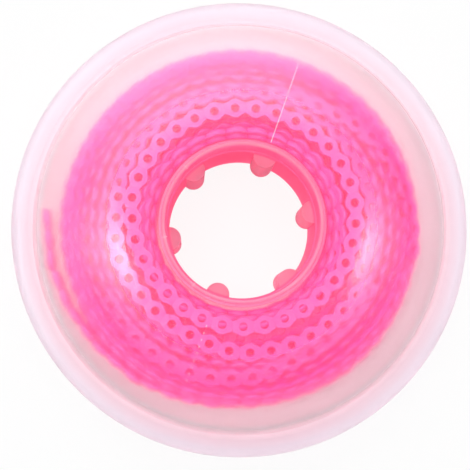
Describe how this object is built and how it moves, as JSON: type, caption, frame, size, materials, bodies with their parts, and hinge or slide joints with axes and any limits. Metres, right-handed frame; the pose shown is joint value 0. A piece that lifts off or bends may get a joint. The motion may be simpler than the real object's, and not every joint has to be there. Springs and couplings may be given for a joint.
{
  "type": "elastomeric chain spool",
  "caption": "Flat round two-part translucent spool with a lugged hub bore, holding a wound strip of soft pink ring chain between its dished flanges.",
  "frame": {"origin": "centre of the rear resting face, on the axis of the bore", "axes": "+Z along the bore axis, from the rear half that the spool lies on towards the front half; +X and +Y across the flanges, with the free end of the chain near -X"},
  "size_m": [0.063, 0.063, 0.014],
  "materials": {
    "frosted_plastic": "translucent natural white moulding, smooth with a soft gloss",
    "pink_elastomer": "satin bright pink elastomer"
  },
  "bodies": {
    "wound_spool": {"rear_half": "frosted_plastic", "chain_core": "pink_elastomer", "chain_turns": "pink_elastomer", "chain_front_run": "pink_elastomer", "chain_tail": "pink_elastomer"},
    "front_cover": {"front_half": "frosted_plastic"}
  },
  "joints": [
    {"name": "front_pull_off", "type": "slide", "parent": "wound_spool", "child": "front_cover", "axis": [0, 0, 1], "range_m": [0, 0.016]}
  ]
}
